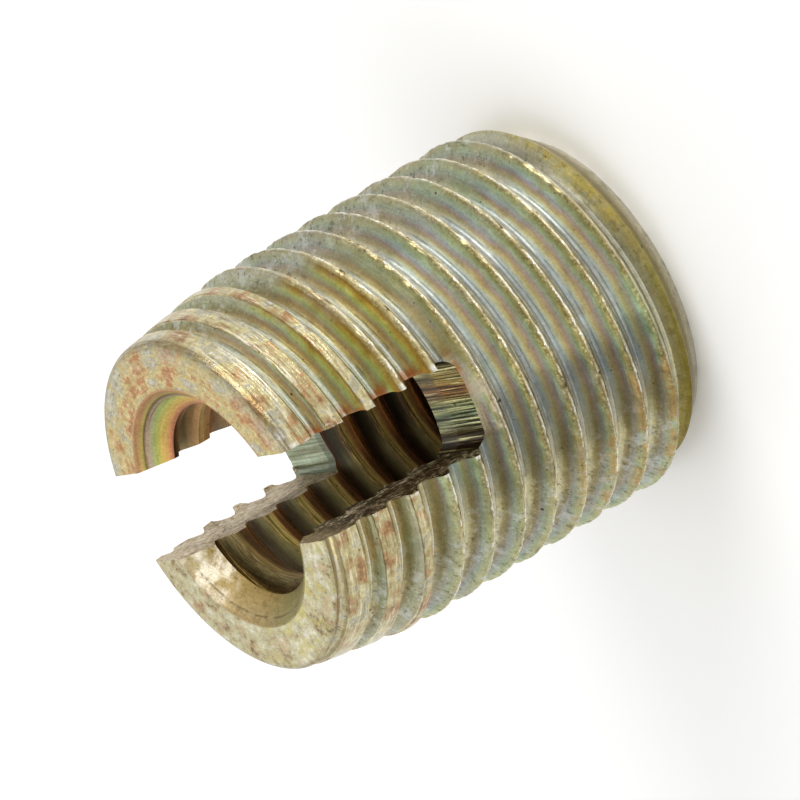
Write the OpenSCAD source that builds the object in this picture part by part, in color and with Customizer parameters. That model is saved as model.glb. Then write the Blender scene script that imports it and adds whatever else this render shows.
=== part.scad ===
// Self-tapping threaded insert: a slotted steel bush with a cutting thread outside
// and a machine thread inside.
// It stands on its plain end at z = 0, with its slotted end up and the slot along X.

/* [Bush] */
// Diameter over the crests of the outside thread
outside_d = 5; // [4.6:0.1:7]
// Length from the plain end to the slotted end
length = 6; // [5:0.1:12]
// Height of the chamfer on the plain end
chamfer_h = 0.5; // [0.1:0.05:0.8]
// Width of the chamfer on the plain end
chamfer_w = 0.4; // [0.1:0.05:0.5]
// Length of the tapered lead-in at the slotted end
taper_l = 1.6; // [0.4:0.1:3]
// Diameter at the small end of the taper
tip_d = 4.56; // [4.3:0.02:4.8]
// Radius of the worn outer edge at the slotted end
edge_r = 0.15; // [0.05:0.01:0.3]

/* [Outside thread] */
// Pitch of the outside thread
outside_pitch = 0.5; // [0.35:0.05:0.7]
// Height of a crest above the plain end, on the +X side
outside_start = 0.22; // [0:0.01:0.8]

/* [Inside thread] */
// Nominal diameter of the inside thread, over its roots
inside_d = 3; // [2.7:0.1:3.3]
// Pitch of the inside thread
inside_pitch = 0.5; // [0.35:0.05:0.7]
// Diameter of the drilled hole, whose wall stays as the crests of the thread
drill_d = 2.55; // [2.3:0.01:2.6]
// Height of a root of the inside thread above the plain end, on the +X side
inside_start = 0.21; // [0:0.01:0.8]
// Diameter of the countersink at the slotted end
sink_d = 3.25; // [2.7:0.05:3.8]
// Diameter of the countersink at the plain end
back_sink_d = 3.2; // [2.7:0.05:3.8]

/* [Slot] */
// Width of the slot, which cuts right across
slot_w = 1.2; // [0.6:0.05:1.8]
// Depth of the slot, from the slotted end to the middle of its floor
slot_depth = 2.57; // [1:0.01:4]
// Slope of the slot's floor, down towards +X, in degrees
slot_slope = 1.4; // [0:0.1:4]
// Radius in the two corners of the slot's floor
slot_corner_r = 0.15; // [0.05:0.01:0.3]

/* [Hidden] */
$fn = 72;

// both threads have 60 degree flanks, 30 degrees each side
flank_slope = tan(30);
// straight steps around one turn of each thread
outside_steps = 36;
inside_steps = 36;
// how far a cut runs past the surface that it opens, and a crest past the wall that trims it
past = 0.5;
proud = 0.03;

outside_r = outside_d / 2;
inside_r = inside_d / 2;
drill_r = drill_d / 2;
sink_r = sink_d / 2;
back_sink_r = back_sink_d / 2;
tip_r = tip_d / 2;
slot_floor = length - slot_depth;

// One pitch of the outside thread as [radius, height] points, up from the middle of a crest:
// a flat crest an eighth of the pitch wide, two flanks, and a root that is rounded by its middle
function outside_form(crest_r, pitch) =
    let (sharp_h = pitch / 2 / flank_slope,
         crest_w = pitch / 8 - 2 * proud * flank_slope,
         side_r = crest_r - sharp_h * 5 / 8,
         root_r = crest_r - sharp_h * 17 / 24)
    [[crest_r + proud, -crest_w / 2], [crest_r + proud, crest_w / 2],
     [side_r, pitch * 3 / 8], [root_r, pitch / 2], [side_r, pitch * 5 / 8]];

// One pitch of the tap: its flat crest cuts a root of the inside thread, and its flanks run
// in to just inside the drilled wall, or until they almost meet
function tap_form(crest_r, wall_r, pitch) =
    let (crest_w = pitch / 8,
         least_w = 0.02,
         deepest = (pitch - crest_w - least_w) / 2 / flank_slope,
         core_r = max(wall_r - 0.08, crest_r - deepest),
         flank_w = (crest_r - core_r) * flank_slope)
    [[crest_r, -crest_w / 2], [crest_r, crest_w / 2],
     [core_r, crest_w / 2 + flank_w], [core_r, pitch - crest_w / 2 - flank_w]];

// A right-handed thread on a bar that reaches past from_z and to_z. Its surface is made of
// columns of points, each one step round and a little higher than the last, so the column
// after the last one is the first, one pitch up.
module threaded_bar(form, pitch, start, steps, from_z, to_z) {
    n = len(form);
    low = start + pitch * (floor((from_z - start) / pitch) - 1);
    turns = ceil((to_z - low) / pitch) + 1;
    last = turns * n - 1;
    walls_points = [for (i = [0:steps - 1], m = [0:last])
        let (p = form[m % n], angle = 360 * i / steps,
             z = low + p[1] + pitch * (floor(m / n) + i / steps))
        [p[0] * cos(angle), p[0] * sin(angle), z]];
    foot = len(walls_points);
    head = foot + 1;
    function at(i, m) = i < steps ? i * (last + 1) + m : m + n;
    function top_row(i) = i < steps - 1 ? last : last - n;
    walls = [for (i = [0:steps - 1], m = [0:top_row(i) - 1], half = [0, 1])
        half == 0 ? [at(i, m), at(i, m + 1), at(i + 1, m)]
                  : [at(i, m + 1), at(i + 1, m + 1), at(i + 1, m)]];
    ends = concat(
        [for (i = [0:steps - 1]) [foot, at(i, 0), at(i + 1, 0)]],
        [for (m = [0:n - 1]) [foot, at(0, m + 1), at(0, m)]],
        [for (i = [0:steps - 1]) [head, at(i + 1, top_row(i)), at(i, top_row(i))]],
        [for (m = [last - n:last - 1]) [head, at(steps - 1, m), at(steps - 1, m + 1)]]);
    polyhedron(concat(walls_points, [[0, 0, low], [0, 0, low + pitch * turns]]),
               concat(walls, ends));
}

// The bush as turned, before its threads are cut
module turned_blank() {
    // the outer edge at the slotted end, from the taper round to the end face
    worn_edge = [for (a = [0:30:90])
        [tip_r - edge_r * (1 - cos(a)), length - edge_r * (1 - sin(a))]];
    rotate_extrude()
        polygon(concat([[0, 0], [outside_r - chamfer_w, 0], [outside_r, chamfer_h],
                        [outside_r, length - taper_l]],
                       worn_edge, [[0, length]]));
}

// The outside thread, whose crests stand a little proud for the blank's surface to trim
module outside_thread() {
    threaded_bar(outside_form(outside_r, outside_pitch), outside_pitch, outside_start,
                 outside_steps, 0, length);
}

// The drilled hole with a 90 degree countersink at each end
module drilled_hole() {
    rotate_extrude()
        polygon([[0, -past], [back_sink_r + past, -past], [drill_r, back_sink_r - drill_r],
                 [drill_r, length - (sink_r - drill_r)], [sink_r + past, length + past],
                 [0, length + past]]);
}

// What the tap takes out of the drilled hole
module tapped_thread() {
    threaded_bar(tap_form(inside_r, drill_r, inside_pitch), inside_pitch, inside_start,
                 inside_steps, 0, length);
}

// The sawn slot, drawn as its section across X
module slot() {
    floor_w = slot_w - 2 * slot_corner_r;
    translate([0, 0, slot_floor])
        rotate([0, slot_slope, 0])
            rotate([90, 0, 90])
                linear_extrude(2 * outside_d, center = true) {
                    translate([-slot_w / 2, slot_corner_r])
                        square([slot_w, slot_depth + past]);
                    translate([-floor_w / 2, 0])
                        square([floor_w, 2 * slot_corner_r]);
                    for (side = [-1, 1])
                        translate([side * floor_w / 2, slot_corner_r])
                            circle(slot_corner_r, $fn = 24);
                }
}

module threaded_insert() {
    color("darkkhaki")
        difference() {
            intersection() {
                turned_blank();
                outside_thread();
            }
            drilled_hole();
            tapped_thread();
            slot();
        }
}

threaded_insert();
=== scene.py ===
import math

import bpy
from mathutils import Matrix, Vector


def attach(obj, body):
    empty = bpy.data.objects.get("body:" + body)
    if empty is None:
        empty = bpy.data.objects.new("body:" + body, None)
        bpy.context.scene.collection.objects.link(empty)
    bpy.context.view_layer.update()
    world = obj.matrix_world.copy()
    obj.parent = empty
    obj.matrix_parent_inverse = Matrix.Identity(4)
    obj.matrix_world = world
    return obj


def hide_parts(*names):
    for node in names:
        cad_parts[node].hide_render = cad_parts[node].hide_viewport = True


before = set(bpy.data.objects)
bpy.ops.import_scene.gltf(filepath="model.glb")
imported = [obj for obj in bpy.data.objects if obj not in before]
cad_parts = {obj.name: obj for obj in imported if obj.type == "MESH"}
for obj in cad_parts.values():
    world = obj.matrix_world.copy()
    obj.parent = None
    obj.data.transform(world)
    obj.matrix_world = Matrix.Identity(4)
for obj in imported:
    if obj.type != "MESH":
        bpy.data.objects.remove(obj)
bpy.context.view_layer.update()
mm = 0.001


class Wire:
    # a socket of a node tree that can be added, multiplied and compared like a number
    def __init__(self, tree, socket):
        self.tree = tree
        self.socket = socket

    def calc(self, operation, *others, flip=False):
        node = self.tree.nodes.new("ShaderNodeMath")
        node.operation = operation
        terms = [self, *others]
        if flip:
            terms.reverse()
        for place, term in zip(node.inputs, terms):
            plug(self.tree, term, place)
        return Wire(self.tree, node.outputs[0])

    def __add__(self, other):
        return self.calc("ADD", other)

    def __radd__(self, other):
        return self.calc("ADD", other)

    def __sub__(self, other):
        return self.calc("SUBTRACT", other)

    def __rsub__(self, other):
        return self.calc("SUBTRACT", other, flip=True)

    def __mul__(self, other):
        return self.calc("MULTIPLY", other)

    def __rmul__(self, other):
        return self.calc("MULTIPLY", other)

    def __truediv__(self, other):
        return self.calc("DIVIDE", other)

    def __abs__(self):
        return self.calc("ABSOLUTE")

    def over(self, limit):
        return self.calc("GREATER_THAN", limit)

    def under(self, limit):
        return self.calc("LESS_THAN", limit)

    def least(self, other):
        return self.calc("MINIMUM", other)

    def most(self, other):
        return self.calc("MAXIMUM", other)

    def within(self):
        return self.most(0.0).least(1.0)

    def ramp(self, low, high, start=0.0, end=1.0, smooth=True):
        # goes from start to end while the value goes from low to high
        node = self.tree.nodes.new("ShaderNodeMapRange")
        node.interpolation_type = "SMOOTHSTEP" if smooth else "LINEAR"
        for place, term in zip(node.inputs, (self, low, high, start, end)):
            plug(self.tree, term, place)
        return Wire(self.tree, node.outputs[0])

    def near(self, at, wide, full):
        # 1 within full of a value, 0 past wide of it
        return abs(self - at).ramp(wide, full)


def plug(tree, value, socket):
    if isinstance(value, Wire):
        tree.links.new(value.socket, socket)
    elif value is not None:
        socket.default_value = value


def addNode(tree, kind, settings=None, **inputs):
    # a node with its settings, and its inputs by name with _ for a space
    node = tree.nodes.new(kind)
    for name, value in (settings or {}).items():
        setattr(node, name, value)
    for name, value in inputs.items():
        plug(tree, value, node.inputs[name.replace("_", " ")])
    return node


def out(tree, node, name=0):
    return Wire(tree, node.outputs[name])


def split(tree, vector):
    node = addNode(tree, "ShaderNodeSeparateXYZ", Vector=vector)
    return [out(tree, node, axis) for axis in "XYZ"]


def join(tree, x, y, z):
    node = addNode(tree, "ShaderNodeCombineXYZ", X=x, Y=y, Z=z)
    return out(tree, node)


def noise(tree, vector, scale, detail=2.0, roughness=0.5):
    # runs from about -1 to 1
    node = addNode(tree, "ShaderNodeTexNoise", {"noise_dimensions": "3D"}, Vector=vector, Scale=scale,
                   Detail=detail, Roughness=roughness)
    return out(tree, node, "Fac") * 2.0 - 1.0


# the bush, in metres and radians
bush = {
    "outsideR": 2.5 * mm,
    "length": 6.0 * mm,
    "chamferH": 0.5 * mm,
    "chamferW": 0.4 * mm,
    "taperL": 1.6 * mm,
    "tipR": 2.28 * mm,
    "edgeR": 0.15 * mm,
    "drillR": 1.275 * mm,
    "sinkR": 1.625 * mm,
    "backSinkR": 1.6 * mm,
    "pitch": 0.5 * mm,
    "outsideStart": 0.22 * mm,
    "outsideSteps": 320,
    "insideR": 1.5 * mm,
    "insideStart": 0.21 * mm,
    "insideSteps": 200,
    "slotW": 1.2 * mm,
    "slotDepth": 2.57 * mm,
    "slotSlope": math.radians(1.4),
    "slotCornerR": 0.15 * mm,
    "past": 0.5 * mm,  # how far the cuts run out past the ends
    "crestGap": 0.005 * mm,  # keeps the ragged crests inside the CAD's box
    "ragged": 0.036 * mm,
    "burr": 0.035 * mm,
    "latheSteps": 320,
}


def outline(name, points, closed):
    # a line of points: x is the radius, y how ragged the metal is there, z the height
    mesh = bpy.data.meshes.new(name)
    edges = [(i, i + 1) for i in range(len(points) - 1)]
    if closed:
        edges.append((len(points) - 1, 0))
    mesh.from_pydata([(r, ragged, z) for r, ragged, z in points], edges, [])
    made = bpy.data.objects.new(name, mesh)
    bpy.context.scene.collection.objects.link(made)
    return made


def outsideForm(b):
    # one pitch of the outside thread, up from the middle of a crest
    pitch, slope = b["pitch"], math.tan(math.radians(30))
    sharpH = pitch / 2 / slope
    crest = b["outsideR"] - b["crestGap"]
    half = pitch / 16
    flankEnd = pitch * 3 / 8
    rootR = b["outsideR"] - sharpH * 17 / 24
    sideR = b["outsideR"] - sharpH * 5 / 8
    upFlank = [(crest - 0.004 * mm, 1.0, 0.75 * half), (crest - 0.020 * mm, 1.0, 1.2 * half)]
    for share in (0.18, 0.5, 0.82):
        z = half + share * (flankEnd - half)
        upFlank.append((crest - (z - half) / slope, 0.3, z))
    upFlank += [(sideR - 0.01 * mm, 0.15, flankEnd + 0.01 * mm), (rootR, 0.15, pitch * 0.44)]
    downFlank = [(r, ragged, pitch - z) for r, ragged, z in reversed(upFlank)]
    return [(crest, 0.8, 0.0), *upFlank, (rootR - 0.004 * mm, 0.15, pitch * 0.5), *downFlank]


def tapForm(b):
    # one pitch of the tap that cuts the inside thread, up from the middle of its crest
    pitch, slope = b["pitch"], math.tan(math.radians(30))
    half = pitch / 16
    core = b["drillR"] - 0.08 * mm
    points = [(b["insideR"], 0.3, -0.5 * half), (b["insideR"], 0.3, 0.5 * half),
              (b["insideR"] - 0.012 * mm, 0.3, 1.1 * half)]
    for share in (0.2, 0.5, 0.8, 1.0):
        r = b["insideR"] + share * (core - b["insideR"])
        points.append((r, 0.4, half + (b["insideR"] - r) * slope))
    for r, ragged, z in points[:2:-1]:
        points.append((r, ragged, pitch - z))
    points.append((b["insideR"] - 0.012 * mm, 0.3, pitch - 1.1 * half))
    return points


def blankOutline(b):
    # the turned bush, a hair over the crests where the thread leaves it, with a small hole down its middle
    over = 0.02 * mm
    core = 0.3 * mm
    taper = (b["outsideR"] - b["tipR"]) / (b["taperL"] - b["edgeR"])
    chamfer = b["chamferW"] / b["chamferH"]
    points = [(core, 0.0), (b["outsideR"] - b["chamferW"], 0.0),
              (b["outsideR"] + over, b["chamferH"] + over / chamfer),
              (b["outsideR"] + over, b["length"] - b["taperL"] - over / taper)]
    for step in range(9):
        a = math.radians(90 * step / 8)
        points.append((b["tipR"] - b["edgeR"] * (1 - math.cos(a)),
                       b["length"] - b["edgeR"] * (1 - math.sin(a))))
    points.append((core, b["length"]))
    return [(r, 0.0, z) for r, z in points]


def drillOutline(b):
    # the drilled hole and its two countersinks
    core = 0.1 * mm
    past = b["past"]
    backEnd = b["backSinkR"] - b["drillR"]
    frontEnd = b["length"] - (b["sinkR"] - b["drillR"])
    points = [(core, -past), (b["backSinkR"] + past, -past), (b["drillR"], backEnd), (b["drillR"], frontEnd),
              (b["sinkR"] + past, b["length"] + past), (core, b["length"] + past)]
    return [(r, 0.0, z) for r, z in points]


def newTree(name, inputs):
    # a geometry tree with named inputs: name, kind
    tree = bpy.data.node_groups.new(name, "GeometryNodeTree")
    for label, kind in inputs:
        tree.interface.new_socket(label, in_out="INPUT", socket_type="NodeSocket" + kind)
    tree.interface.new_socket("Geometry", in_out="OUTPUT", socket_type="NodeSocketGeometry")
    source = tree.nodes.new("NodeGroupInput")
    return tree, {label: out(tree, source, label) for label, kind in inputs}


def endTree(tree, geometry):
    sink = tree.nodes.new("NodeGroupOutput")
    plug(tree, geometry, sink.inputs[0])
    return tree


def pointAt(tree, form, index):
    node = addNode(tree, "GeometryNodeSampleIndex", {"data_type": "FLOAT_VECTOR", "clamp": True},
                   Geometry=form, Value=out(tree, tree.nodes.new("GeometryNodeInputPosition")), Index=index)
    return split(tree, out(tree, node))


def gridPlace(tree, rows, columns):
    # a grid, with the row and column of each of its corners
    grid = addNode(tree, "GeometryNodeMeshGrid", Size_X=1.0, Size_Y=1.0, Vertices_X=rows + 1,
                   Vertices_Y=columns + 1)
    x, y, _ = split(tree, out(tree, tree.nodes.new("GeometryNodeInputPosition")))
    row = ((x + 0.5) * rows).calc("ROUND")
    column = ((y + 0.5) * columns).calc("ROUND")
    return out(tree, grid, "Mesh"), row, column


def closed(tree, rolled):
    # joins the seam and the poles of a grid rolled round the axis, and turns its faces outwards
    merged = addNode(tree, "GeometryNodeMergeByDistance", Geometry=rolled, Distance=0.0001 * mm)
    flipped = addNode(tree, "GeometryNodeFlipFaces", Mesh=out(tree, merged))
    return out(tree, flipped)


def threadTree():
    # a bar with a right-handed thread: rows of the form's points climb one pitch a turn,
    # so the last column meets the first, one pitch up
    tree, given = newTree("threadedBar", [("Form", "Geometry"), ("Points", "Int"), ("Pitch", "Float"),
                                          ("Start", "Float"), ("Turns", "Int"), ("Steps", "Int"),
                                          ("Ragged", "Float"), ("Grain", "Float"), ("Seed", "Float")])
    points, pitch, steps = given["Points"], given["Pitch"], given["Steps"]
    grid, row, column = gridPlace(tree, points * given["Turns"], steps)
    radius, ragged, height = pointAt(tree, given["Form"], row.calc("FLOORED_MODULO", points))
    share = column / steps
    turn = (row / points + 0.0001).calc("FLOOR") + share
    climbed = row / points + share
    angle = share * math.tau
    z = given["Start"] + pitch * turn + height
    axes = [radius * angle.calc("COSINE"), radius * angle.calc("SINE"), z + given["Seed"]]
    bite = noise(tree, join(tree, *axes), given["Grain"], 3.0, 0.6).least(0.12) * given["Ragged"] * ragged
    lift = noise(tree, join(tree, *[axis + 7 * mm for axis in axes]), given["Grain"], 3.0, 0.6)
    z = z + lift * given["Ragged"] * ragged * 0.6
    # the first and last pitch close to a point on the axis, outside the turned blank
    low = climbed.under(1.0001)
    high = climbed.over(given["Turns"] - 0.0001)
    inside = (1.0 - low) * (1.0 - high)
    radius = (radius + bite) * inside
    end = given["Start"] + pitch * (0.5 * low + (given["Turns"] + 0.5) * high)
    z = z * inside + end * (1.0 - inside)
    place = join(tree, radius * angle.calc("COSINE"), radius * angle.calc("SINE"), z)
    bar = addNode(tree, "GeometryNodeSetPosition", Geometry=grid, Position=place)
    return endTree(tree, closed(tree, out(tree, bar)))


def latheTree():
    # turns a closed outline round the Z axis
    tree, given = newTree("lathe", [("Outline", "Geometry"), ("Points", "Int"), ("Steps", "Int")])
    grid, row, column = gridPlace(tree, given["Points"], given["Steps"])
    radius, _, height = pointAt(tree, given["Outline"], row.calc("FLOORED_MODULO", given["Points"]))
    angle = column.calc("FLOORED_MODULO", given["Steps"]) / given["Steps"] * math.tau
    place = join(tree, radius * angle.calc("COSINE"), radius * angle.calc("SINE"), height)
    turned = addNode(tree, "GeometryNodeSetPosition", Geometry=grid, Position=place)
    return endTree(tree, closed(tree, out(tree, turned)))


def sawTree():
    # what the saw takes out: a block with rounded lower corners and walls with the saw's chatter and burrs
    names = ("Width", "Floor", "Height", "Reach", "Corner", "Slope", "Burr", "Crest")
    tree, given = newTree("sawCut", [(name, "Float") for name in names])
    size = join(tree, given["Reach"] * 2.0, given["Width"], given["Height"])
    block = addNode(tree, "GeometryNodeMeshCube", Size=size, Vertices_X=150, Vertices_Y=25, Vertices_Z=70)
    x, y, z = split(tree, out(tree, tree.nodes.new("GeometryNodeInputPosition")))
    corner = given["Corner"]
    half = given["Width"] * 0.5
    up = z + given["Height"] * 0.5
    side = y.calc("SIGN")
    # round the two lower corners
    outY = abs(y) - (half - corner)
    outZ = corner - up
    inCorner = outY.over(0.0) * outZ.over(0.0)
    reach = (outY * outY + outZ * outZ).calc("SQRT").most(0.0001 * mm)
    size = outY.most(outZ)
    fit = size / reach
    newY = (half - corner + outY * (1.0 + (fit - 1.0) * inCorner)) * side
    newUp = corner - outZ * (1.0 + (fit - 1.0) * inCorner)
    # the walls: fine chatter, burrs thrown over the slot on one side of each end, a rolled edge on the other
    onWall = abs(y).over(half - 0.001 * mm)
    radius = (x * x + half * half).calc("SQRT")
    edge = radius.ramp(given["Crest"] - 0.13 * mm, given["Crest"] - 0.05 * mm)
    spot = join(tree, x, y * 3.0, up)
    patchy = noise(tree, spot, 5.0 / mm, 2.0, 0.6) * 0.5 + 0.5
    thrown = (x * side).over(0.0)
    rolled = 1.0 - thrown
    farLow = (0.0 - x).ramp(1.5 * mm, 2.35 * mm) * side.under(0.0)
    chatter = noise(tree, spot, 9.0 / mm, 3.0, 0.6) * 0.006 * mm
    move = (chatter - given["Burr"] * edge * thrown * (0.6 + patchy * 0.7)
            + given["Burr"] * edge * rolled * (0.3 + patchy * 0.4)
            - given["Burr"] * farLow * 0.6)
    newY = newY + move * onWall * side
    # the floor: its slope, and the lines that the saw's teeth left
    lines = noise(tree, join(tree, x * 0.02, y, 0.0), 16.0 / mm, 2.0, 0.7)
    newUp = newUp + lines * 0.006 * mm * up.under(corner)
    slope = x * given["Slope"].calc("TANGENT")
    place = join(tree, x, newY, newUp + given["Floor"] - slope)
    cut = addNode(tree, "GeometryNodeSetPosition", Geometry=out(tree, block, "Mesh"), Position=place)
    return endTree(tree, out(tree, cut))


def useTree(tree, group, **inputs):
    node = tree.nodes.new("GeometryNodeGroup")
    node.node_tree = group
    for name, value in inputs.items():
        plug(tree, value, node.inputs[name.replace("_", " ")])
    return Wire(tree, node.outputs[0])


def objectShape(tree, source):
    node = addNode(tree, "GeometryNodeObjectInfo", {"transform_space": "ORIGINAL"}, Object=source)
    return out(tree, node, "Geometry")


def boolean(tree, operation, first, *others):
    # one node for each cut, because the solver takes them one at a time
    for other in others:
        node = addNode(tree, "GeometryNodeMeshBoolean", {"operation": operation, "solver": "MANIFOLD"})
        plug(tree, first, node.inputs["Mesh 1" if operation == "DIFFERENCE" else "Mesh 2"])
        plug(tree, other, node.inputs["Mesh 2"])
        first = out(tree, node, "Mesh")
    return first


def bushTree():
    # the whole bush: a turned blank with its thread, less the hole, the tap and the saw cut
    kinds = {
        "Geometry": ("Geometry",),
        "Object": ("Blank", "Drill", "Outside Form", "Tap Form"),
        "Int": ("Blank Points", "Drill Points", "Outside Points", "Tap Points", "Outside Steps",
                "Inside Steps", "Turns", "Lathe Steps"),
        "Float": ("Outside Start", "Inside Start", "Pitch", "Outside Radius", "Slot Width", "Slot Floor",
                  "Slot Height", "Slot Corner", "Slot Slope", "Ragged", "Burr"),
        "Material": ("Material",),
    }
    tree, given = newTree("threadedBush", [(name, kind) for kind, names in kinds.items() for name in names])
    thread, lathe, saw = threadTree(), latheTree(), sawTree()
    blank = useTree(tree, lathe, Outline=objectShape(tree, given["Blank"]), Points=given["Blank Points"],
                    Steps=given["Lathe Steps"])
    drill = useTree(tree, lathe, Outline=objectShape(tree, given["Drill"]), Points=given["Drill Points"],
                    Steps=given["Lathe Steps"])
    bar = useTree(tree, thread, Form=objectShape(tree, given["Outside Form"]),
                  Points=given["Outside Points"], Pitch=given["Pitch"],
                  Start=given["Outside Start"] - given["Pitch"] * 3.0, Turns=given["Turns"],
                  Steps=given["Outside Steps"], Ragged=given["Ragged"], Grain=8.0 / mm, Seed=0.0)
    tap = useTree(tree, thread, Form=objectShape(tree, given["Tap Form"]), Points=given["Tap Points"],
                  Pitch=given["Pitch"], Start=given["Inside Start"] - given["Pitch"] * 3.0,
                  Turns=given["Turns"], Steps=given["Inside Steps"], Ragged=given["Ragged"] * 0.4,
                  Grain=5.0 / mm, Seed=5 * mm)
    cut = useTree(tree, saw, Width=given["Slot Width"], Floor=given["Slot Floor"],
                  Height=given["Slot Height"], Reach=given["Outside Radius"] * 1.4,
                  Corner=given["Slot Corner"], Slope=given["Slot Slope"], Burr=given["Burr"],
                  Crest=given["Outside Radius"])
    solid = boolean(tree, "INTERSECT", blank, bar)
    solid = boolean(tree, "DIFFERENCE", solid, drill, tap, cut)
    angle = addNode(tree, "GeometryNodeInputMeshEdgeAngle")
    smooth = addNode(tree, "GeometryNodeSetShadeSmooth", {"domain": "FACE"}, Geometry=solid,
                     Shade_Smooth=True)
    crisp = addNode(tree, "GeometryNodeSetShadeSmooth", {"domain": "EDGE"}, Geometry=out(tree, smooth),
                    Selection=out(tree, angle, "Unsigned Angle").over(math.radians(28)), Shade_Smooth=False)
    real = addNode(tree, "GeometryNodeRealizeInstances", Geometry=out(tree, crisp))
    done = addNode(tree, "GeometryNodeSetMaterial", Geometry=out(tree, real), Material=given["Material"])
    return endTree(tree, out(tree, done))


def setInputs(modifier, values):
    # each input is set by its socket's identifier
    sockets = {s.name: s.identifier for s in modifier.node_group.interface.items_tree if s.in_out == "INPUT"}
    for name, value in values.items():
        modifier[sockets[name]] = value


def bake(made, name):
    # the evaluated shape as a plain mesh, with the object at the origin
    bpy.context.view_layer.update()
    shape = made.evaluated_get(bpy.context.evaluated_depsgraph_get())
    mesh = bpy.data.meshes.new_from_object(shape)
    mesh.name = name
    piece = bpy.data.objects.new(name, mesh)
    bpy.context.scene.collection.objects.link(piece)
    bpy.data.objects.remove(made)
    return piece


def buildBush(b, material):
    forms = {
        "Blank": outline("blankLine", blankOutline(b), True),
        "Drill": outline("drillLine", drillOutline(b), True),
        "Outside Form": outline("outsideLine", outsideForm(b), False),
        "Tap Form": outline("tapLine", tapForm(b), False),
    }
    host = bpy.data.objects.new("bushHost", bpy.data.meshes.new("bushHost"))
    bpy.context.scene.collection.objects.link(host)
    modifier = host.modifiers.new("threadedBush", "NODES")
    modifier.node_group = bushTree()
    setInputs(modifier, {
        **forms,
        "Blank Points": len(forms["Blank"].data.vertices),
        "Drill Points": len(forms["Drill"].data.vertices),
        "Outside Points": len(forms["Outside Form"].data.vertices),
        "Tap Points": len(forms["Tap Form"].data.vertices),
        "Outside Start": b["outsideStart"],
        "Inside Start": b["insideStart"],
        "Outside Steps": b["outsideSteps"],
        "Inside Steps": b["insideSteps"],
        "Pitch": b["pitch"],
        "Turns": math.ceil(b["length"] / b["pitch"]) + 5,
        "Lathe Steps": b["latheSteps"],
        "Slot Width": b["slotW"],
        "Slot Floor": b["length"] - b["slotDepth"],
        "Slot Height": b["slotDepth"] + b["past"],
        "Slot Corner": b["slotCornerR"],
        "Slot Slope": b["slotSlope"],
        "Outside Radius": b["outsideR"],
        "Ragged": b["ragged"],
        "Burr": b["burr"],
        "Material": material,
    })
    piece = bake(host, "threaded_bush")
    for form in forms.values():
        bpy.data.objects.remove(form)
    return piece


def tint(red, green, blue):
    # a colour picked on a screen, as the shaders count it
    shares = [c / 255 for c in (red, green, blue)]
    return (*[((c + 0.055) / 1.055) ** 2.4 if c > 0.04 else c / 12.92 for c in shares], 1.0)


def blend(tree, factor, first, second, kind="MIX"):
    # first where factor is 0, second where it is 1
    node = addNode(tree, "ShaderNodeMix", {"data_type": "RGBA", "blend_type": kind, "clamp_factor": True})
    sockets = {s.identifier: s for s in node.inputs}
    plug(tree, factor, sockets["Factor_Float"])
    plug(tree, first, sockets["A_Color"])
    plug(tree, second, sockets["B_Color"])
    return Wire(tree, next(s for s in node.outputs if s.identifier == "Result_Color"))


def mixShaders(tree, factor, first, second):
    node = addNode(tree, "ShaderNodeMixShader", Fac=factor)
    plug(tree, first, node.inputs[1])
    plug(tree, second, node.inputs[2])
    return out(tree, node)


def bands(tree, value, *stops):
    # colours along a value: (value, colour), ...
    node = addNode(tree, "ShaderNodeValToRGB", Fac=value)
    marks = node.color_ramp.elements
    while len(marks) < len(stops):
        marks.new(0.5)
    for mark, (place, colour) in zip(marks, stops):
        mark.position = place
        mark.color = tint(*colour)
    return out(tree, node, "Color")


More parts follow.
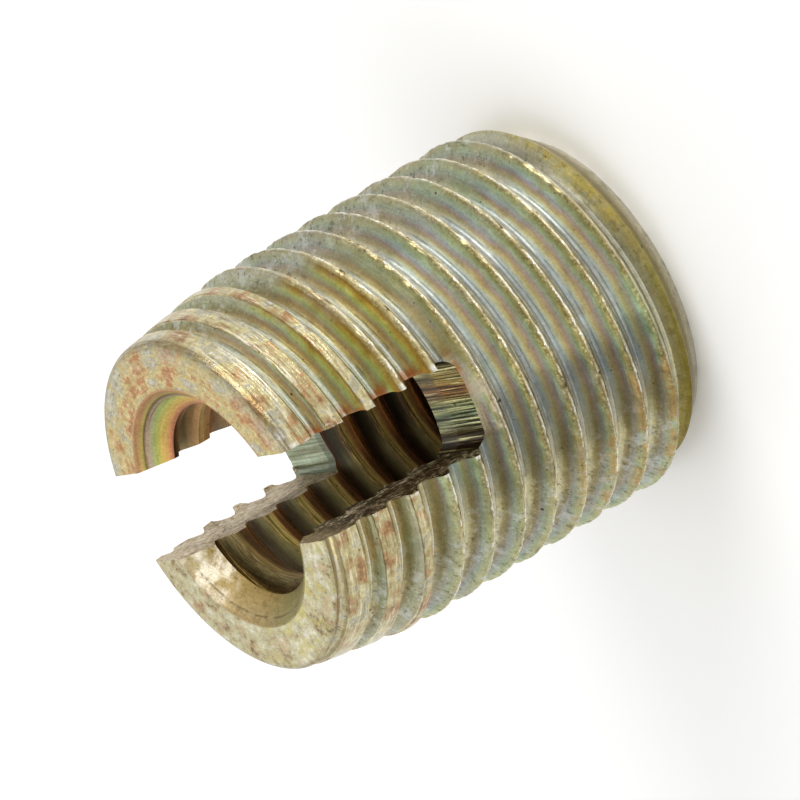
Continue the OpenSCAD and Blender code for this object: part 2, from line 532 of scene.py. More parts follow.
class Spot:
    # where a point of the metal lies, in mm, and the patterns that patches and scratches follow
    def __init__(self, tree, b):
        self.tree = tree
        coords = tree.nodes.new("ShaderNodeTexCoord")
        scaled = addNode(tree, "ShaderNodeVectorMath", {"operation": "SCALE"}, Scale=1 / mm)
        plug(tree, out(tree, coords, "Object"), scaled.inputs[0])
        self.place = out(tree, scaled)
        self.x, self.y, self.z = split(tree, self.place)
        self.r = (self.x * self.x + self.y * self.y).calc("SQRT")
        self.angle = self.y.calc("ARCTAN2", self.x)
        self.nx, self.ny, self.nz = split(tree, out(tree, coords, "Normal"))
        self.outPhase = self.phase(b, b["outsideStart"])
        self.inPhase = self.phase(b, b["insideStart"])
        self.across = abs(self.y)
        self.slotHalf = b["slotW"] / 2 / mm
        self.slotFloor = (b["length"] - b["slotDepth"]) / mm
        self.taper = (b["length"] - b["taperL"]) / mm  # where the taper starts
        self.end = b["length"] / mm
        self.mouth = self.end - 0.79  # where the colours of the hole's mouth start

    def phase(self, b, start):
        # 0 at a crest of the outside thread or a root of the inside one, 1 at the next one up
        return ((self.z - start / mm) / (b["pitch"] / mm) - self.angle / math.tau).calc("FRACT")

    def facing(self, degrees, wide, full):
        # 1 within full degrees of this side of the axis, 0 past wide degrees from it
        away = (self.angle - math.radians(degrees)).calc("COSINE")
        return away.ramp(math.cos(math.radians(wide)), math.cos(math.radians(full)))

    def patchy(self, scale, seed=0.0, detail=2.0, roughness=0.5):
        # from 0 to 1, in patches of about 1 / scale mm
        spot = join(self.tree, self.x + seed, self.y, self.z) if seed else self.place
        return noise(self.tree, spot, scale, detail, roughness) * 0.5 + 0.5

    def wander(self, by, *pattern):
        # from -by / 2 to by / 2, in patches
        return (self.patchy(*pattern) - 0.5) * by

    def streaks(self, along, across, seed=0.0, detail=2.0, roughness=0.5):
        # from 0 to 1, drawn out round the axis
        ring = join(self.tree, self.x / self.r * along, self.y / self.r * along, self.z * across + seed)
        node = addNode(self.tree, "ShaderNodeTexNoise", {"noise_dimensions": "4D"}, Vector=ring,
                       W=self.r * across, Scale=1.0, Detail=detail, Roughness=roughness)
        return out(self.tree, node, "Fac")

    def sawn(self, along, across, seed=0.0, detail=2.0):
        # from 0 to 1, drawn out along the slot
        line = join(self.tree, self.x * along, self.y * across + seed, self.z * across)
        return noise(self.tree, line, 1.0, detail, 0.6) * 0.5 + 0.5

    def specks(self, scale, size, seed=0.0):
        # 1 in small pits of up to size mm, about scale of them to the mm
        spot = join(self.tree, self.x + seed, self.y, self.z)
        node = addNode(self.tree, "ShaderNodeTexVoronoi", {"feature": "F1"}, Vector=spot, Scale=scale)
        rare = addNode(self.tree, "ShaderNodeTexWhiteNoise", {"noise_dimensions": "3D"},
                       Vector=out(self.tree, node, "Position"))
        reach = out(self.tree, rare, "Value").ramp(0.6, 1.0, 0.0, 1.0, smooth=False) * size * scale
        return out(self.tree, node, "Distance").ramp(reach * 0.5, reach, 1.0, 0.0)


def landRadius(spot, b):
    # how far out the lands lie at this height: down the taper, then round the slotted end's edge
    slope = (b["outsideR"] - b["tipR"]) / (b["taperL"] - b["edgeR"])
    taper = (spot.z - spot.taper).most(0.0) * slope
    edge = b["edgeR"] / mm
    bend = ((spot.z - (spot.end - edge)) / edge).most(0.0).least(0.999)
    return b["outsideR"] / mm - taper - (1.0 - (1.0 - bend * bend).calc("SQRT")) * edge


def filmColour(spot):
    # the film's colours run up each flank, from one crest at 0 over the root at 0.5 to the next crest at 1
    tree = spot.tree
    film = spot.outPhase + spot.wander(0.07, 0.9) + spot.wander(0.09, 5.0, 3.0, 3.0, 0.65)
    film = film + (spot.streaks(5.0, 26.0, 2.0) - 0.5) * 0.03
    front = bands(tree, film, (0.0, (172, 162, 130)), (0.03, (148, 138, 96)), (0.075, (138, 132, 82)),
                  (0.12, (142, 150, 106)), (0.16, (150, 164, 142)), (0.20, (160, 150, 152)),
                  (0.24, (168, 150, 132)), (0.285, (186, 170, 126)), (0.33, (190, 190, 158)),
                  (0.37, (170, 182, 182)), (0.41, (182, 198, 210)), (0.44, (170, 180, 188)),
                  (0.475, (132, 136, 128)), (0.52, (150, 150, 132)), (0.56, (208, 202, 178)),
                  (0.62, (255, 250, 232)), (0.9, (255, 250, 228)), (0.96, (212, 204, 176)))
    upper = bands(tree, film, (0.0, (180, 172, 140)), (0.04, (160, 152, 116)), (0.08, (161, 163, 116)),
                  (0.13, (156, 168, 130)), (0.175, (158, 175, 164)), (0.22, (152, 164, 174)),
                  (0.255, (162, 148, 152)), (0.295, (168, 154, 122)), (0.335, (181, 180, 146)),
                  (0.375, (170, 182, 180)), (0.42, (164, 172, 178)), (0.47, (166, 170, 156)),
                  (0.52, (240, 238, 222)), (0.6, (255, 252, 236)), (0.95, (206, 200, 176)))
    left = bands(tree, film, (0.0, (160, 152, 126)), (0.08, (180, 172, 134)), (0.14, (172, 174, 138)),
                 (0.2, (162, 168, 148)), (0.26, (170, 158, 140)), (0.31, (180, 170, 140)),
                 (0.36, (214, 204, 172)), (0.41, (250, 242, 212)), (0.47, (226, 218, 202)),
                 (0.95, (194, 190, 170)))
    low = bands(tree, film, (0.0, (166, 156, 116)), (0.05, (192, 190, 138)), (0.09, (190, 194, 142)),
                (0.13, (178, 182, 142)), (0.17, (168, 178, 152)), (0.205, (160, 168, 156)),
                (0.24, (168, 160, 146)), (0.28, (158, 150, 116)), (0.32, (180, 168, 128)),
                (0.36, (224, 220, 188)), (0.41, (246, 242, 214)), (0.46, (200, 192, 158)),
                (0.52, (240, 232, 204)), (0.95, (188, 178, 140)))
    gold = bands(tree, film, (0.0, (188, 176, 140)), (0.045, (200, 186, 144)), (0.08, (186, 168, 112)),
                 (0.115, (142, 112, 48)), (0.15, (168, 138, 64)), (0.19, (188, 176, 94)),
                 (0.225, (184, 196, 124)), (0.26, (178, 186, 148)), (0.295, (172, 158, 136)),
                 (0.33, (184, 160, 122)), (0.37, (204, 187, 144)), (0.41, (210, 207, 186)),
                 (0.45, (182, 184, 172)), (0.49, (210, 212, 192)), (0.52, (208, 210, 188)),
                 (0.57, (187, 183, 146)), (0.66, (190, 182, 138)), (0.95, (192, 188, 160)))
    lobe = bands(tree, film, (0.05, (182, 174, 142)), (0.14, (188, 182, 148)), (0.20, (180, 178, 146)),
                 (0.245, (176, 176, 144)), (0.285, (164, 162, 126)), (0.33, (158, 152, 112)),
                 (0.37, (168, 154, 112)), (0.41, (222, 206, 158)), (0.45, (196, 186, 144)),
                 (0.49, (180, 168, 124)), (0.53, (170, 156, 110)), (0.60, (172, 156, 108)),
                 (0.74, (164, 152, 114)), (0.95, (182, 172, 140)))
    onLobe = (spot.z + spot.wander(0.7, 1.5, 5.0)).ramp(spot.taper - 0.3, spot.taper + 0.2)
    onGold = (spot.z + spot.patchy(1.5, 6.0) * 0.9).ramp(spot.taper - 0.8, spot.taper - 0.1)
    onGold = onGold * spot.facing(32, 42, 26)
    below = (spot.facing(-70, 56, 34) + spot.wander(0.3, 1.3, 8.0)).within()
    beyond = (spot.facing(100, 46, 28) + spot.wander(0.3, 1.3, 9.0)).within()
    colour = blend(tree, spot.facing(56, 24, 8), front, upper)
    colour = blend(tree, below, colour, low)
    colour = blend(tree, beyond, colour, left)
    colour = blend(tree, onLobe, colour, lobe)
    colour = blend(tree, onGold, colour, gold)
    # greener, greyer and browner clouds
    colour = blend(tree, spot.patchy(0.8, 14.0).ramp(0.52, 0.72) * 0.30, colour, tint(150, 190, 156))
    colour = blend(tree, spot.patchy(1.1, 17.0).ramp(0.54, 0.75) * 0.30, colour, tint(182, 176, 180))
    return blend(tree, spot.patchy(2.6, 19.0, 3.0).ramp(0.58, 0.75) * 0.30, colour, tint(150, 118, 62))


def wornAndHighlightColour(spot):
    # cream and gold, with salmon, olive and silvery patches that are drawn out round the axis, and a painted
    # highlight on the first land
    tree = spot.tree
    mottle = spot.patchy(3.0, 21.0, 3.0, 0.62) + (spot.streaks(3.0, 14.0) - 0.5) * 0.25
    base = bands(tree, mottle, (0.34, (150, 120, 82)), (0.40, (184, 148, 108)), (0.45, (178, 162, 120)),
                 (0.50, (188, 176, 134)), (0.55, (204, 192, 146)), (0.60, (178, 176, 160)),
                 (0.65, (176, 164, 124)), (0.72, (210, 208, 196)))
    drawn = spot.streaks(7.0, 30.0, 7.0, 3.0, 0.65)
    base = blend(tree, drawn.ramp(0.55, 0.66) * 0.6, base, tint(244, 232, 200))
    base = blend(tree, drawn.ramp(0.45, 0.36) * 0.5, base, tint(112, 90, 56))
    # a painted highlight on the first land
    land_painted_highlight = spot.facing(45, 16, 5) * spot.z.near(spot.end - 0.48, 0.24, 0.08) * drawn.ramp(0.40, 0.56)
    return blend(tree, land_painted_highlight * 0.9, base, tint(255, 252, 244))


def aboveFloor(spot, b):
    # the height over the slot's sloping floor
    return spot.z - spot.slotFloor + spot.x * math.tan(b["slotSlope"])


def outsideColour(spot, b):
    # the outside thread, and how much of it is worn bare
    tree = spot.tree
    colour = filmColour(spot)
    jagged = spot.patchy(20.0, 2.0, 3.0, 0.7) - 0.5
    off = (spot.outPhase + 0.5).calc("FRACT") - 0.5
    # the grooves' bottoms: a silvery line, with a dark one on its far side
    silver = (spot.outPhase + jagged * 0.03).near(0.44, 0.035, 0.01)
    silver = silver * spot.streaks(9.0, 3.0, 3.0).ramp(0.40, 0.6)
    colour = blend(tree, silver * 0.55, colour, tint(212, 216, 210))
    for at, seed in ((0.395, 2.0), (0.512, 5.0)):
        line = (spot.outPhase + spot.wander(0.03, 1.2, seed)).near(at, 0.024, 0.006)
        line = line * spot.patchy(2.5, seed + 1.0).ramp(0.36, 0.56) * spot.facing(24, 44, 26)
        colour = blend(tree, line * 0.6, colour, tint(96, 98, 90))
    # dark and gold grains in a band beside each crest
    grains = bands(tree, jagged + 0.5, (0.38, (96, 76, 38)), (0.47, (132, 112, 58)),
                   (0.54, (176, 158, 100)), (0.62, (228, 216, 168)))
    beside = (off + jagged * 0.12).near(0.055, 0.075, 0.02)
    beside = beside * spot.patchy(5.0, 27.0).ramp(0.32, 0.54) * spot.facing(15, 62, 40)
    colour = blend(tree, beside * 0.46, colour, grains)
    # pale bloom in the valleys, away from the front
    bloom = spot.patchy(4.0, 11.0, 3.0, 0.68).ramp(0.52, 0.63) * (1.0 - spot.facing(20, 62, 34))
    colour = blend(tree, bloom * 0.5, colour, tint(214, 216, 208))
    # orange stains above the crests, on the lower side
    orange = spot.outPhase.ramp(0.26, 0.08) * spot.facing(-42, 34, 16) * spot.z.ramp(3.2, 1.6)
    orange = orange * spot.patchy(3.4, 31.0, 3.0, 0.65).ramp(0.42, 0.56)
    colour = blend(tree, orange * 0.6, colour, tint(194, 146, 78))
    # worn crests: a thin line on the body, worn bare and brightened with painted highlight that is dimmer
    # away from the front, and worn all over the lands of the taper
    crest = landRadius(spot, b)
    land = (spot.r - crest + jagged * 0.02).ramp(-0.026, -0.008)
    land = land * spot.z.ramp(spot.taper - 0.25, spot.taper + 0.1)
    line = (off + jagged * 0.22).near(-0.065, 0.08, 0.045)
    dash = spot.streaks(11.0, 5.0, 9.0, 3.0, 0.7)
    # the crest line's colours: worn metal, with its brightest dashes painted highlight
    crest_wear_and_highlight = bands(tree, dash, (0.35, (104, 84, 44)), (0.42, (200, 180, 126)), (0.50, (238, 226, 186)),
                   (0.57, (255, 252, 240)))
    under = 1.0 - spot.facing(16, 66, 38)
    line = line * spot.z.ramp(spot.taper + 0.2, spot.taper - 0.1) * (1.0 - under * 0.4)
    line = line * (spot.z.ramp(0.75, 1.05) * 0.8 + 0.2)
    colour = blend(tree, line, colour, crest_wear_and_highlight)
    # duskier below the front, and weathered underneath
    dusk = 1.0 - spot.facing(-21, 22, 8) * spot.z.ramp(spot.taper, spot.taper - 0.8) * 0.34
    colour = blend(tree, 1.0, colour, dusk, "MULTIPLY")
    rusty = spot.patchy(10.0, 53.0, 3.0, 0.75)
    colour = blend(tree, rusty.ramp(0.45, 0.35) * under * 0.6, colour, tint(98, 92, 58))
    colour = blend(tree, rusty.ramp(0.56, 0.68) * under * 0.40, colour, tint(222, 216, 186))
    colour = blend(tree, land, colour, wornAndHighlightColour(spot))
    # the slot's edges: bare burrs brightened with painted highlight, and heat colours beside them on the
    # upper side
    away = spot.across - spot.slotHalf
    thrown = (spot.x * spot.y).over(0.0)
    scorch = away.ramp(0.22, 0.03) * thrown * spot.z.over(spot.slotFloor - 0.08)
    scorch = scorch * spot.patchy(4.0, 45.0).ramp(0.38, 0.56)
    colour = blend(tree, scorch * (1.0 - land) * 0.7, colour, tint(176, 108, 50))
    onCrest = off.near(-0.02, 0.12, 0.06) * spot.z.ramp(spot.taper + 0.3, spot.taper - 0.1)
    beads = onCrest.most(land * spot.patchy(8.0, 47.0, 3.0).ramp(0.50, 0.60))
    # the burrs' bright colour is partly painted highlight
    lip = (away + jagged * 0.06).ramp(0.075, 0.035) * beads * aboveFloor(spot, b).ramp(0.12, 0.24)
    colour = blend(tree, lip * 0.85, colour, tint(230, 228, 216))
    return colour, land.most(line)


def tipColour(spot):
    # the plain end: a greyish cone, bright at its rim, and a yellow groove above it
    tree = spot.tree
    up = spot.z + spot.wander(0.10, 9.0, 29.0, 3.0, 0.65) + (spot.streaks(3.0, 22.0, 8.0) - 0.5) * 0.05
    colour = bands(tree, up / 0.6, (0.02, (206, 200, 180)), (0.13, (208, 201, 178)),
                   (0.25, (186, 176, 142)), (0.35, (146, 132, 82)), (0.44, (137, 121, 60)),
                   (0.54, (174, 160, 86)), (0.64, (196, 184, 134)), (0.74, (194, 192, 166)),
                   (0.86, (177, 175, 162)))
    yellow = spot.z.ramp(0.28, 0.36) * spot.z.ramp(0.50, 0.42) * spot.facing(46, 34, 10)
    yellow = yellow * spot.patchy(5.0, 23.0, 3.0, 0.65).ramp(0.45, 0.56)
    colour = blend(tree, yellow * 0.5, colour, tint(208, 184, 78))
    dull = spot.patchy(6.0, 25.0, 3.0, 0.65)
    return blend(tree, dull.ramp(0.48, 0.36) * 0.4, colour, tint(124, 106, 60))


def endColour(spot):
    # matte and mottled; the upper half has more gold and salmon
    tree = spot.tree
    grain = spot.patchy(4.6, 37.0, 6.0, 0.72)
    pale = bands(tree, grain, (0.36, (128, 110, 78)), (0.42, (166, 154, 118)), (0.48, (184, 174, 138)),
                 (0.53, (184, 180, 148)), (0.62, (210, 204, 184)))
    spots = spot.patchy(3.6, 39.0, 3.0, 0.65)
    pale = blend(tree, spots.ramp(0.52, 0.60) * spot.x.ramp(-1.4, 0.6) * 0.55, pale, tint(190, 178, 98))
    pale = blend(tree, spots.ramp(0.44, 0.34) * 0.4, pale, tint(190, 152, 116))
    mottle = spot.patchy(2.2, 24.0, 5.0, 0.65) * 1.3 - 0.15
    mottle = mottle + (spot.streaks(3.0, 14.0, 3.0, 3.0) - 0.5) * 0.4
    warm = bands(tree, mottle, (0.35, (170, 126, 84)), (0.41, (188, 152, 108)), (0.45, (186, 166, 114)),
                 (0.50, (194, 178, 126)), (0.56, (178, 168, 128)), (0.62, (168, 162, 142)),
                 (0.70, (196, 192, 178)))
    rim = spot.r.ramp(1.9, 2.15) * spot.patchy(3.0, 63.0, 3.0, 0.65).ramp(0.42, 0.56)
    warm = blend(tree, rim * 0.55, warm, tint(182, 180, 160))
    fine = spot.patchy(13.0, 33.0, 3.0, 0.7)
    warm = blend(tree, fine.ramp(0.45, 0.35) * 0.5, warm, tint(136, 108, 72))
    warm = blend(tree, fine.ramp(0.55, 0.65) * 0.5, warm, tint(224, 212, 172))
    return blend(tree, spot.y.ramp(-0.6, 0.6), pale, warm)


def boreColour(spot, b):
    # bands of film on each land of the inside thread, dark grooves, painted glints on the lands' ridges,
    # painted shade on one side of the wall, and the countersink at the slotted end
    tree = spot.tree
    lines = spot.streaks(1.6, 26.0, 6.0, 2.0)
    wave = spot.inPhase + (lines - 0.5) * 0.08
    olive = bands(tree, wave, (0.0, (112, 84, 50)), (0.05, (158, 117, 71)), (0.25, (146, 104, 56)),
                  (0.32, (114, 80, 44)), (0.42, (108, 74, 38)), (0.47, (138, 104, 58)),
                  (0.53, (240, 212, 134)), (0.61, (224, 202, 118)), (0.67, (152, 132, 72)),
                  (0.72, (142, 132, 80)), (0.79, (126, 122, 78)), (0.85, (104, 92, 62)),
                  (0.90, (84, 72, 44)), (0.94, (75, 62, 36)), (1.0, (112, 84, 50)))
    red = bands(tree, wave, (0.0, (190, 110, 54)), (0.05, (255, 225, 116)), (0.25, (255, 205, 108)),
                (0.32, (240, 164, 88)), (0.42, (196, 134, 72)), (0.47, (206, 158, 90)),
                (0.53, (240, 186, 108)), (0.61, (255, 228, 136)), (0.665, (160, 120, 58)),
                (0.70, (96, 78, 40)), (0.78, (70, 64, 36)), (0.88, (56, 48, 28)), (0.93, (62, 36, 16)),
                (0.975, (150, 80, 36)))
    land = blend(tree, (spot.y + (lines - 0.5) * 0.4).ramp(-0.75, -0.35), olive, red)
    land = blend(tree, spot.y.ramp(0.4, 0.9) * 0.6, land, tint(230, 186, 134))
    glint = spot.streaks(2.0, 110.0, 12.0, 2.0)
    ridge = spot.inPhase.near(0.61, 0.17, 0.07)
    painted_glint_tint = bands(tree, spot.inPhase, (0.46, (230, 120, 60)), (0.54, (250, 226, 120)),
                  (0.60, (226, 236, 120)), (0.68, (220, 206, 100)), (0.74, (200, 120, 60)))
    # painted glints: bright streaks along the lands' ridges, with dark streaks beside them
    land = blend(tree, glint.ramp(0.53, 0.62) * ridge * 0.8, land, painted_glint_tint)
    land = blend(tree, glint.ramp(0.47, 0.38) * ridge * 0.8, land, tint(70, 46, 24))
    # painted shade on the wall of the hole toward +x
    land = blend(tree, spot.x.ramp(0.2, 0.8) * spot.y.ramp(-1.1, -0.5) * 0.75, land, tint(72, 50, 30))
    # the countersink: bright bands on its upper half, cream below with a painted highlight on one side
    tall = 0.9
    up = (spot.z + (lines - 0.5) * 0.05 - (spot.end - tall)) / tall
    banded = bands(tree, up, (0.0, (250, 220, 170)), (0.12, (226, 176, 116)), (0.20, (176, 136, 84)),
                   (0.27, (140, 122, 82)), (0.36, (150, 132, 92)), (0.46, (156, 108, 54)),
                   (0.53, (188, 148, 108)), (0.585, (116, 86, 64)), (0.635, (212, 144, 106)),
                   (0.685, (218, 178, 104)), (0.74, (208, 188, 102)), (0.79, (170, 182, 104)),
                   (0.835, (178, 170, 136)), (0.865, (184, 160, 134)), (0.895, (112, 94, 60)),
                   (0.925, (188, 172, 96)), (0.965, (192, 150, 106)), (1.0, (192, 154, 112)))
    cream = bands(tree, up, (0.1, (70, 50, 26)), (0.17, (96, 74, 40)), (0.24, (168, 144, 88)),
                  (0.30, (164, 144, 92)), (0.36, (142, 130, 86)), (0.42, (98, 82, 48)),
                  (0.47, (146, 122, 68)), (0.53, (140, 118, 66)), (0.60, (128, 108, 60)),
                  (0.66, (140, 122, 68)), (0.76, (168, 152, 98)), (0.86, (182, 168, 120)),
                  (0.93, (190, 178, 136)), (1.0, (172, 158, 122)))
    wide = spot.z.ramp(spot.end - 0.44, spot.end - 0.3)
    creamy = blend(tree, spot.facing(-118, 46, 14) * wide * 0.45, cream, tint(186, 154, 100))
    # a painted highlight on one side of the lower countersink
    sink_painted_highlight = spot.facing(-148, 26, 8) * spot.patchy(4.0, 55.0, 3.0, 0.65).ramp(0.34, 0.6)
    creamy = blend(tree, sink_painted_highlight * wide * 0.75, creamy, tint(255, 246, 224))
    creamy = blend(tree, spot.facing(-58, 48, 22) * wide * 0.5, creamy, tint(142, 140, 84))
    dull = spot.patchy(9.0, 57.0, 3.0, 0.65).ramp(0.46, 0.36)
    creamy = blend(tree, dull * 0.4, creamy, tint(134, 108, 60))
    deep = spot.z.ramp(spot.end - 0.4, spot.end - 0.5)
    creamy = blend(tree, glint.ramp(0.52, 0.44) * deep * 0.7, creamy, tint(66, 48, 24))
    edge = (spot.r + spot.patchy(2.0, 58.0) * 0.03).near(b["sinkR"] / mm - 0.06, 0.016, 0.006) * wide
    edge = edge * spot.patchy(6.0, 59.0, 3.0).ramp(0.42, 0.54)
    creamy = blend(tree, edge * 0.6, creamy, tint(112, 92, 58))
    mouth = blend(tree, spot.y.ramp(-0.2, 0.2), creamy, banded)
    return blend(tree, spot.z.ramp(spot.mouth - 0.05, spot.mouth + 0.05), land, mouth)


def slotColour(spot, onFloor):
    # pale far walls, grainy near ones darkened with painted shade, and a floor with the saw's lines
    tree = spot.tree
    near = spot.x.ramp(-0.2, 1.0)
    grain = spot.patchy(16.0, 41.0, 3.0, 0.75) + spot.wander(0.3, 3.0, 42.0)
    pale = bands(tree, grain, (0.34, (104, 84, 56)), (0.42, (164, 144, 108)), (0.5, (184, 166, 132)),
                 (0.60, (204, 186, 160)), (0.7, (222, 214, 192)))
    dark = bands(tree, grain, (0.40, (46, 36, 18)), (0.47, (94, 78, 44)), (0.54, (132, 114, 74)),
                 (0.62, (242, 230, 200)))
    # painted shade: the near walls take the dark colours, less so toward the slotted end
    wall = blend(tree, near, pale, dark)
    atEnd = spot.z.ramp(spot.end - 0.55, spot.end - 0.15)
    wall = blend(tree, atEnd * near * 0.6, wall, tint(186, 166, 118))
    lines = spot.sawn(0.10, 26.0, 2.0, 3.0)
    span = spot.y / (2 * spot.slotHalf) + 0.5 + (lines - 0.5) * 0.15
    nearFloor = bands(tree, span, (0.06, (52, 40, 20)), (0.18, (100, 90, 54)), (0.26, (158, 168, 130)),
                      (0.38, (134, 150, 114)), (0.50, (146, 150, 98)), (0.57, (138, 108, 54)),
                      (0.64, (140, 90, 42)), (0.76, (136, 118, 54)), (0.88, (118, 104, 56)),
                      (0.95, (206, 200, 156)))
    nearFloor = blend(tree, lines.ramp(0.49, 0.42) * 0.9, nearFloor, tint(38, 32, 14))
    nearFloor = blend(tree, lines.ramp(0.54, 0.61) * 0.75, nearFloor, tint(214, 212, 156))
    farFloor = bands(tree, lines, (0.34, (84, 84, 52)), (0.46, (118, 124, 98)), (0.6, (136, 146, 122)),
                     (0.7, (164, 172, 150)))
    floor = blend(tree, near, farFloor, nearFloor)
    return blend(tree, onFloor, wall, floor)


def relief(spot, land, inBore, onEnd, onWall, onFloor):
    # fine scratches and grain, as heights in mm
    drawn = spot.streaks(3.0, 36.0, 9.0, 2.0, 0.65)
    jagged = spot.patchy(22.0, 61.0, 2.0, 0.65)
    flank = drawn * 0.0020 + jagged * 0.0024
    onLand = drawn * 0.0060 + jagged * 0.0075
    inThread = spot.z.ramp(spot.mouth + 0.05, spot.mouth - 0.05)
    bore = spot.streaks(2.0, 110.0, 12.0, 1.0) * 0.0050 * inThread + jagged * 0.003
    sawn = spot.sawn(0.10, 26.0, 2.0, 1.0) * 0.0080 + jagged * 0.002
    height = flank + (onLand - flank) * land
    height = height + (bore - height) * inBore
    height = height + (jagged * 0.0050 + drawn * 0.0030 - height) * onEnd
    height = height + (jagged * 0.0080 - height) * onWall
    return height + (sawn - height) * onFloor


def zincFinish(b):
    # yellow passivated zinc on steel
    material = bpy.data.materials.new("yellow_zinc")
    material.use_nodes = True
    tree = material.node_tree
    tree.nodes.clear()
    spot = Spot(tree, b)
    outside, land = outsideColour(spot, b)
    # which part of the bush a point is on
    reach = 0.64 + spot.angle.calc("SINE") * 0.08
    onTip = (reach - spot.z).ramp(0.0, 0.08) * spot.r.over(2.0)
    inBore = spot.r.ramp(b["sinkR"] / mm + 0.035, b["sinkR"] / mm + 0.015)
    onEnd = (spot.z + spot.wander(0.05, 8.0, 71.0)).ramp(spot.end - 0.045, spot.end - 0.01)
    above = aboveFloor(spot, b)
    corner = abs(above).under(0.17) * abs(spot.nx).under(0.25) * spot.across.over(spot.slotHalf - 0.16)
    corner = corner * spot.nz.over(0.1) * above.over(-0.03)
    flat = abs(above).under(0.03) * spot.nz.over(0.9)
    onFloor = corner.most(flat) * spot.across.under(spot.slotHalf + 0.02)
    onWall = abs(spot.across - (spot.slotHalf - 0.02)).under(0.08) * spot.z.over(spot.slotFloor - 0.13)
    onWall = onWall * abs(spot.ny).over(0.75) * (1.0 - onFloor)
    # a dull line along the slotted end's rounded edge
    arc = spot.z.near(spot.end - b["edgeR"] / mm * 0.55, 0.07, 0.02) * spot.r.over(2.0)
    arc = arc * spot.streaks(2.0, 24.0, 19.0).ramp(0.40, 0.56)
    dull = tint(120, 98, 60)
    # smeared metal where the saw stopped
    smear = spot.z.ramp(spot.slotFloor - 0.38, spot.slotFloor - 0.23) * spot.r.over(2.1)
    smear = smear * spot.z.ramp(spot.slotFloor + 0.12, spot.slotFloor - 0.03)
    smear = smear * spot.across.ramp(spot.slotHalf + 0.02, spot.slotHalf - 0.2)
    smear = smear * spot.patchy(5.0, 81.0, 3.0, 0.65).ramp(0.40, 0.56)
    outside = blend(tree, smear * 0.8, blend(tree, arc * 0.6, outside, dull), tint(172, 160, 138))
    # grain and dirt all over
    grain = 0.16 + spot.patchy(26.0, 91.0, 3.0, 0.75) * 0.80 + spot.streaks(4.0, 40.0, 17.0) * 0.46
    grain = grain + spot.patchy(6.0, 93.0) * 0.30
    dirt = spot.specks(3.2, 0.034).most(spot.specks(9.0, 0.020, 4.0) * 0.8)
    rough = 0.30 + onEnd.most(onWall) * 0.2 + inBore * 0.16 + spot.wander(0.12, 8.0, 51.0)
    height = relief(spot, land, inBore, onEnd, onWall, onFloor)
    bump = addNode(tree, "ShaderNodeBump", Height=height, Strength=1.0, Distance=mm)
    bare = 1.0 - inBore * spot.z.ramp(spot.end - 0.5, spot.end - 0.7) * 0.65
    # one shader for each part, so that a ray works out only the part that it meets
    metal = None
    for mask, colour in ((1.0, outside), (onTip, tipColour(spot)), (inBore, boreColour(spot, b)),
                         (onEnd * (1.0 - inBore), blend(tree, arc * 0.6, endColour(spot), dull)),
                         (onFloor.most(onWall), slotColour(spot, onFloor))):
        colour = blend(tree, 1.0, colour, grain, "MULTIPLY")
        colour = blend(tree, dirt * 0.85, colour, tint(48, 40, 28))
        shader = addNode(tree, "ShaderNodeBsdfPrincipled", Base_Color=colour, Metallic=bare, Roughness=rough,
                         Normal=out(tree, bump))
        metal = mixShaders(tree, mask, metal, out(tree, shader)) if metal else out(tree, shader)
    addNode(tree, "ShaderNodeOutputMaterial", Surface=metal)
    return material


piece = buildBush(bush, zincFinish(bush))
print("bush built,", len(piece.data.polygons), "faces,", len(piece.data.vertices), "points")


# the studio: what the camera, the floor and the lights go by
studio = {
    "aim": Vector((0.04 * mm, 0.018 * mm, 3.07 * mm)),
    "azimuth": math.radians(101.06),
    "elevation": math.radians(28.04),
    "roll": math.radians(-120.63),
    "distance": 274.6 * mm,
    "lens": 998.2,
    "floorHalf": 400 * mm,
    "floorTint": (252, 252, 251),
    "sky": 0.80,
    # azimuth, elevation, distance, size and power of each light
    "lights": {
        "keyLight": (162, 20, 0.5, 0.40, 1.5),
        "fillLight": (40, 60, 0.6, 0.5, 0.5),
        "backLight": (285, 35, 0.6, 0.5, 0.5),
    },
}


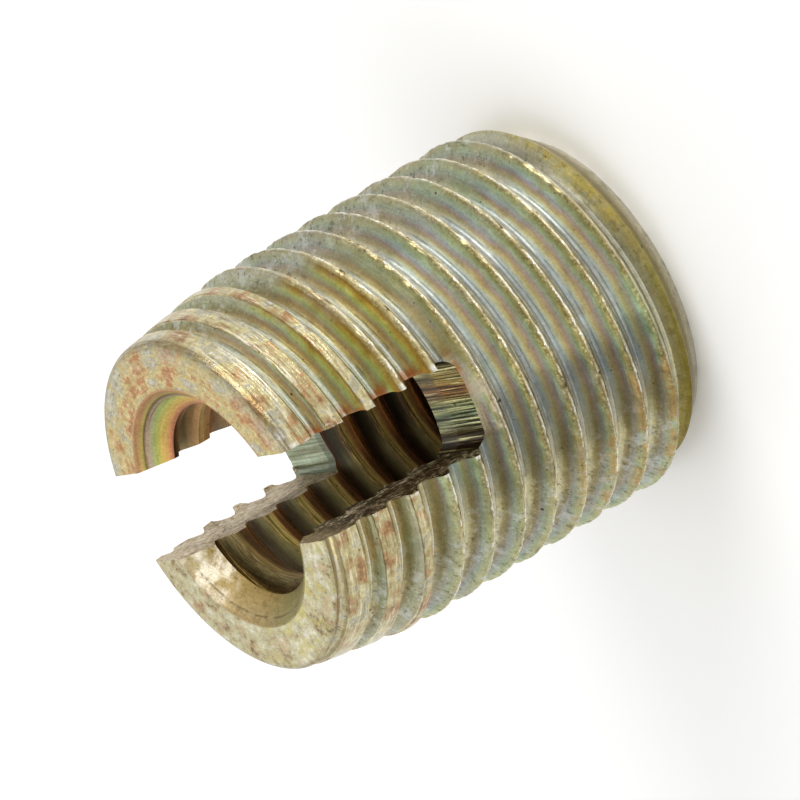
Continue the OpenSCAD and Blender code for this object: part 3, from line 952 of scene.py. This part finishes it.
def ahead(azimuth, elevation):
    # the direction of a place seen from the middle
    return Vector((math.sin(azimuth) * math.cos(elevation), -math.cos(azimuth) * math.cos(elevation),
                   math.sin(elevation)))


def setCamera(s):
    data = bpy.data.cameras.new("camera")
    data.lens = s["lens"]
    data.clip_start = 1 * mm
    made = bpy.data.objects.new("camera", data)
    bpy.context.scene.collection.objects.link(made)
    turn = (Matrix.Rotation(s["azimuth"], 4, "Z") @ Matrix.Rotation(math.pi / 2 - s["elevation"], 4, "X")
            @ Matrix.Rotation(s["roll"], 4, "Z"))
    place = s["aim"] + ahead(s["azimuth"], s["elevation"]) * s["distance"]
    made.matrix_world = Matrix.Translation(place) @ turn
    bpy.context.scene.camera = made


def setFloor(s):
    mesh = bpy.data.meshes.new("floor")
    half = s["floorHalf"]
    corners = [(-half, -half, 0), (half, -half, 0), (half, half, 0), (-half, half, 0)]
    mesh.from_pydata(corners, [], [(0, 1, 2, 3)])
    floor = bpy.data.objects.new("floor", mesh)
    bpy.context.scene.collection.objects.link(floor)
    paint = bpy.data.materials.new("floorPaint")
    paint.use_nodes = True
    shader = paint.node_tree.nodes["Principled BSDF"]
    shader.inputs["Base Color"].default_value = tint(*s["floorTint"])
    shader.inputs["Roughness"].default_value = 0.9
    mesh.materials.append(paint)


def addLight(name, azimuth, elevation, distance, size, power):
    data = bpy.data.lights.new(name, "AREA")
    data.shape = "DISK"
    data.size = size
    data.energy = power
    made = bpy.data.objects.new(name, data)
    bpy.context.scene.collection.objects.link(made)
    place = ahead(math.radians(azimuth), math.radians(elevation)) * distance
    made.location = place
    made.rotation_euler = (-place).to_track_quat("-Z", "Y").to_euler()


def setLights(s):
    world = bpy.data.worlds.new("studio")
    world.use_nodes = True
    bpy.context.scene.world = world
    back = world.node_tree.nodes["Background"]
    back.inputs["Color"].default_value = (1.0, 1.0, 1.0, 1.0)
    back.inputs["Strength"].default_value = s["sky"]
    for name, light in s["lights"].items():
        addLight(name, *light)


setCamera(studio)
setFloor(studio)
setLights(studio)
bpy.context.scene.view_settings.view_transform = "Standard"
print("studio set")

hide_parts("threaded_insert")
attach(piece, "root")
